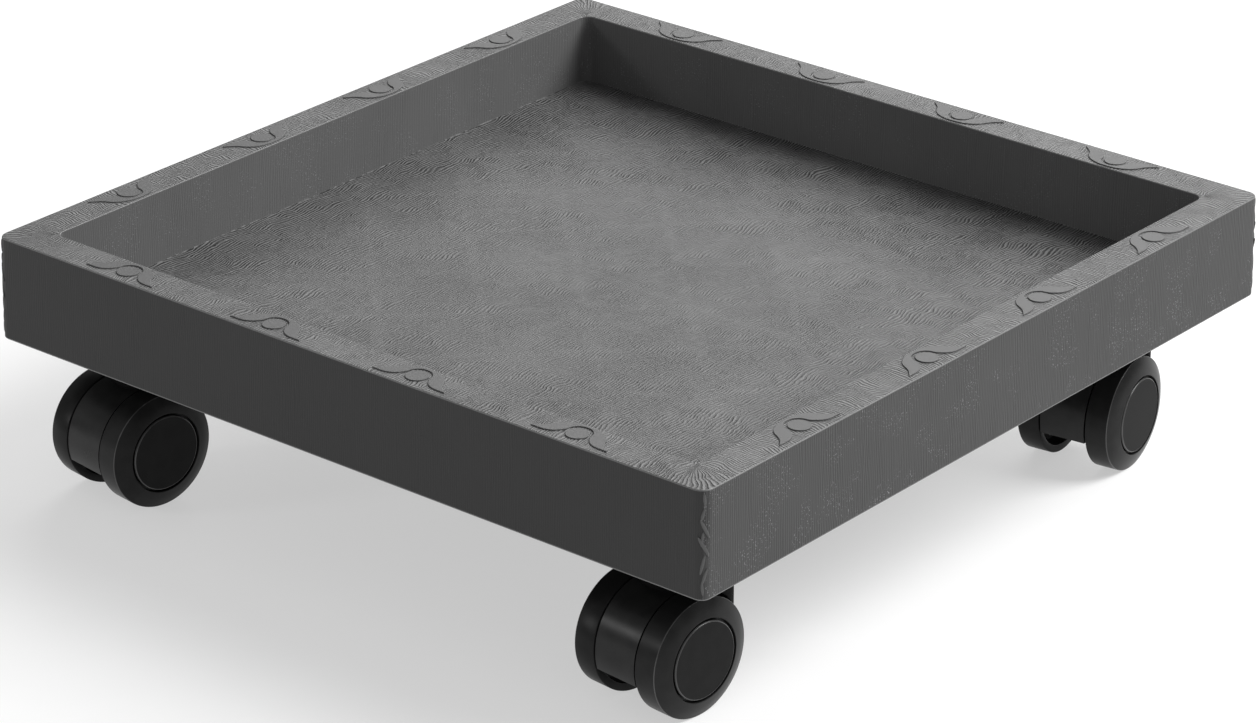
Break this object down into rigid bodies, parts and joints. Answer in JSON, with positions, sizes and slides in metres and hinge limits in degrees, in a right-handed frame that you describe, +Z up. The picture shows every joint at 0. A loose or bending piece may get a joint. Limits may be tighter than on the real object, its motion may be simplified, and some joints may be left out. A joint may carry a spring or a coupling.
{
  "type": "plant pot caddy",
  "caption": "Low square tray with a raised, scroll-decorated rim on hooded twin-wheel swivel casters, for rolling a heavy plant pot about.",
  "frame": {"origin": "on the floor, under the middle of the tray", "axes": "+Z up; front of the tray faces -Y, its right side faces +X"},
  "size_m": [0.3004, 0.3004, 0.0914],
  "materials": {
    "tray_plastic": "moulded wood-grain texture, charcoal grey",
    "caster_nylon": "moulded satin black",
    "wheel_nylon": "moulded satin black",
    "cap_nylon": "fine spark-eroded black",
    "steel": "turned, bright zinc plated"
  },
  "bodies": {
    "tray": {"tray": "tray_plastic", "front_right_stem": "steel", "front_right_grip_ring": "steel", "front_right_circlip": "steel", "front_left_stem": "steel", "front_left_grip_ring": "steel", "front_left_circlip": "steel", "back_right_stem": "steel", "back_right_grip_ring": "steel", "back_right_circlip": "steel", "back_left_stem": "steel", "back_left_grip_ring": "steel", "back_left_circlip": "steel"},
    "front_right_caster": {"front_right_hood": "caster_nylon", "front_right_axle": "steel"},
    "front_right_right_wheel": {"front_right_wheel_right": "wheel_nylon", "front_right_hub_cap_right": "cap_nylon"},
    "front_right_left_wheel": {"front_right_wheel_left": "wheel_nylon", "front_right_hub_cap_left": "cap_nylon"},
    "front_left_caster": {"front_left_hood": "caster_nylon", "front_left_axle": "steel"},
    "front_left_right_wheel": {"front_left_wheel_right": "wheel_nylon", "front_left_hub_cap_right": "cap_nylon"},
    "front_left_left_wheel": {"front_left_wheel_left": "wheel_nylon", "front_left_hub_cap_left": "cap_nylon"},
    "back_right_caster": {"back_right_hood": "caster_nylon", "back_right_axle": "steel"},
    "back_right_right_wheel": {"back_right_wheel_right": "wheel_nylon", "back_right_hub_cap_right": "cap_nylon"},
    "back_right_left_wheel": {"back_right_wheel_left": "wheel_nylon", "back_right_hub_cap_left": "cap_nylon"},
    "back_left_caster": {"back_left_hood": "caster_nylon", "back_left_axle": "steel"},
    "back_left_right_wheel": {"back_left_wheel_right": "wheel_nylon", "back_left_hub_cap_right": "cap_nylon"},
    "back_left_left_wheel": {"back_left_wheel_left": "wheel_nylon", "back_left_hub_cap_left": "cap_nylon"}
  },
  "joints": [
    {"name": "front_right_swivel", "type": "hinge", "parent": "tray", "child": "front_right_caster", "pos_m": [0.1145, -0.1145, 0.0475], "axis": [0, 0, 1], "continuous": true},
    {"name": "front_right_right_wheel_roll", "type": "hinge", "parent": "front_right_caster", "child": "front_right_right_wheel", "pos_m": [0.12749, -0.12668, 0.02], "axis": [0.9962, -0.0872, 0], "continuous": true},
    {"name": "front_right_left_wheel_roll", "type": "hinge", "parent": "front_right_caster", "child": "front_right_left_wheel", "pos_m": [0.09959, -0.12424, 0.02], "axis": [0.9962, -0.0872, 0], "continuous": true},
    {"name": "front_left_swivel", "type": "hinge", "parent": "tray", "child": "front_left_caster", "pos_m": [-0.1145, -0.1145, 0.0475], "axis": [0, 0, 1], "continuous": true},
    {"name": "front_left_right_wheel_roll", "type": "hinge", "parent": "front_left_caster", "child": "front_left_right_wheel", "pos_m": [-0.1021, -0.12728, 0.02], "axis": [0.991, -0.134, 0], "continuous": true},
    {"name": "front_left_left_wheel_roll", "type": "hinge", "parent": "front_left_caster", "child": "front_left_left_wheel", "pos_m": [-0.12985, -0.12353, 0.02], "axis": [0.991, -0.134, 0], "continuous": true},
    {"name": "back_right_swivel", "type": "hinge", "parent": "tray", "child": "back_right_caster", "pos_m": [0.1145, 0.1145, 0.0475], "axis": [0, 0, 1], "continuous": true},
    {"name": "back_right_right_wheel_roll", "type": "hinge", "parent": "back_right_caster", "child": "back_right_right_wheel", "pos_m": [0.12969, 0.10521, 0.02], "axis": [0.9932, 0.1167, 0], "continuous": true},
    {"name": "back_right_left_wheel_roll", "type": "hinge", "parent": "back_right_caster", "child": "back_right_left_wheel", "pos_m": [0.10188, 0.10194, 0.02], "axis": [0.9932, 0.1167, 0], "continuous": true},
    {"name": "back_left_swivel", "type": "hinge", "parent": "tray", "child": "back_left_caster", "pos_m": [-0.1145, 0.1145, 0.0475], "axis": [0, 0, 1], "continuous": true},
    {"name": "back_left_right_wheel_roll", "type": "hinge", "parent": "back_left_caster", "child": "back_left_right_wheel", "pos_m": [-0.09994, 0.10425, 0.02], "axis": [0.9986, 0.0523, 0], "continuous": true},
    {"name": "back_left_left_wheel_roll", "type": "hinge", "parent": "back_left_caster", "child": "back_left_left_wheel", "pos_m": [-0.12791, 0.10278, 0.02], "axis": [0.9986, 0.0523, 0], "continuous": true}
  ]
}
